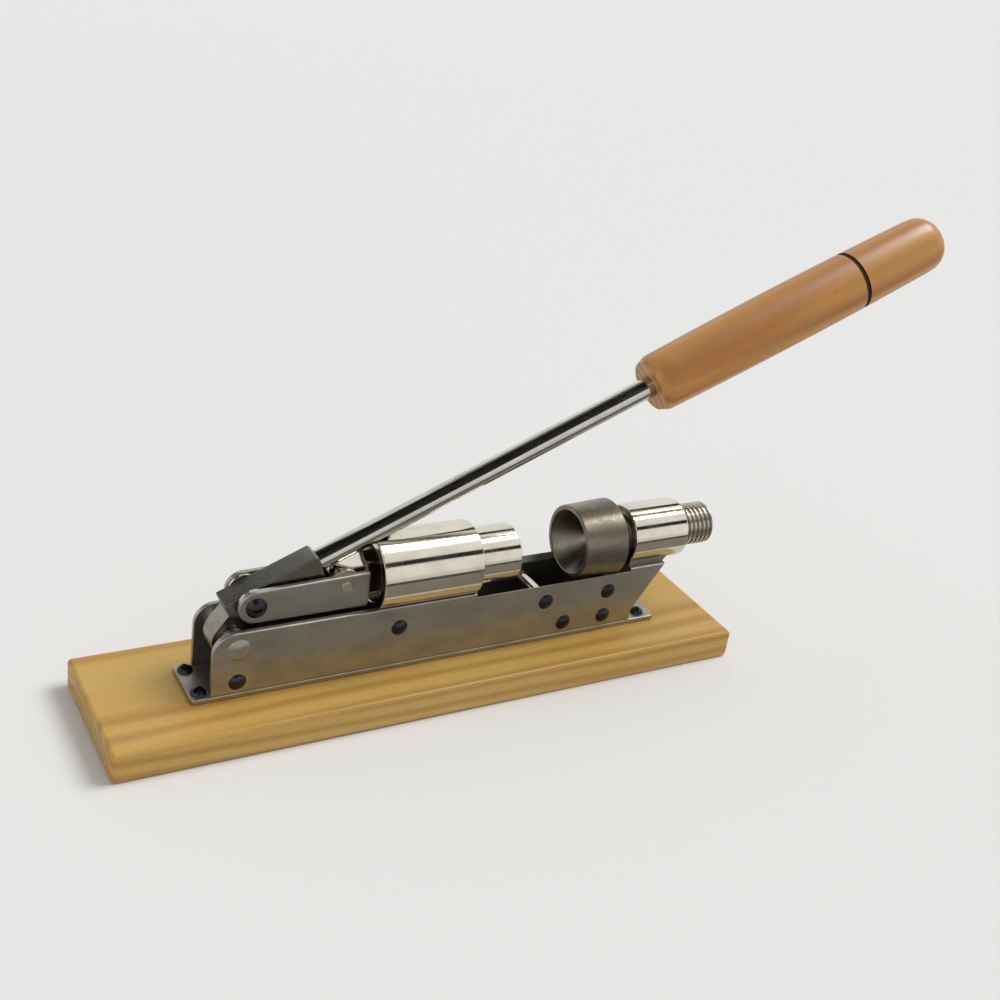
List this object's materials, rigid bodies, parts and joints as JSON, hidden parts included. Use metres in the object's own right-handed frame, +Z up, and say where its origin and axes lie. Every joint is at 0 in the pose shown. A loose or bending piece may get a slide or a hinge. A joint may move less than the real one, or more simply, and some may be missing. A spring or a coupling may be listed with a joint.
{
  "type": "nut cracker",
  "caption": "Bench nut cracker on a wooden board: a long lever drives a ram's hollow cone through a guide barrel towards a cone on a threaded shank.",
  "frame": {"origin": "centre of the board's underside", "axes": "+X along the board towards the threaded cone, +Y across the board, +Z up"},
  "size_m": [0.4024, 0.07, 0.2073],
  "materials": {
    "board_wood": "clear satin varnish",
    "grip_wood": "turned, clear satin varnish",
    "chrome": "polished chrome plate",
    "frame_steel": "chrome plate over rolled sheet",
    "cone_steel": "turned steel",
    "thread_steel": "cut thread",
    "screw_steel": "dark oxide"
  },
  "bodies": {
    "frame": {"base_board": "board_wood", "foot_plate": "frame_steel", "foot_screws": "screw_steel", "near_side_plate": "frame_steel", "far_side_plate": "frame_steel", "fulcrum_pin": "frame_steel", "fulcrum_spacers": "chrome", "cross_rivets": "screw_steel", "stay_tube": "chrome", "guide_barrel": "chrome", "guide_saddle": "frame_steel", "anvil_barrel": "chrome", "anvil_saddle": "frame_steel"},
    "lever": {"lever_arm": "frame_steel", "crank_bolt": "screw_steel", "crank_nut": "screw_steel", "handle_rod": "chrome", "handle_grip": "grip_wood"},
    "links": {"near_link_plate": "frame_steel", "far_link_plate": "frame_steel", "link_washers": "chrome", "crosshead_pin": "chrome"},
    "ram": {"ram": "chrome"},
    "cone": {"anvil_cone": "cone_steel"},
    "shank": {"anvil_shank": "thread_steel"}
  },
  "joints": [
    {"name": "lever_swing", "type": "hinge", "parent": "frame", "child": "lever", "pos_m": [-0.093, 0, 0.03751], "axis": [0, -1, 0], "range_deg": [0, 65]},
    {"name": "link_swing", "type": "hinge", "parent": "lever", "child": "links", "pos_m": [-0.08511, 0, 0.05369], "axis": [0, -1, 0], "range_deg": [-66, 0.5]},
    {"name": "ram_slide", "type": "slide", "parent": "frame", "child": "ram", "axis": [-1, 0, 0], "range_m": [0, 0.0196]},
    {"name": "cone_travel", "type": "slide", "parent": "frame", "child": "cone", "axis": [-1, 0, 0], "range_m": [-0.0044, 0.0314]},
    {"name": "cone_turn", "type": "hinge", "parent": "cone", "child": "shank", "pos_m": [0.1, 0, 0.057], "axis": [-1, 0, 0], "range_deg": [-640, 4530]}
  ],
  "couplings": [
    {"joint": "link_swing", "follows": "lever_swing", "ratio": -0.9941},
    {"joint": "ram_slide", "follows": "lever_swing", "m_per_rad": 0.0171},
    {"joint": "cone_turn", "follows": "cone_travel", "rad_per_m": 2513.3}
  ]
}
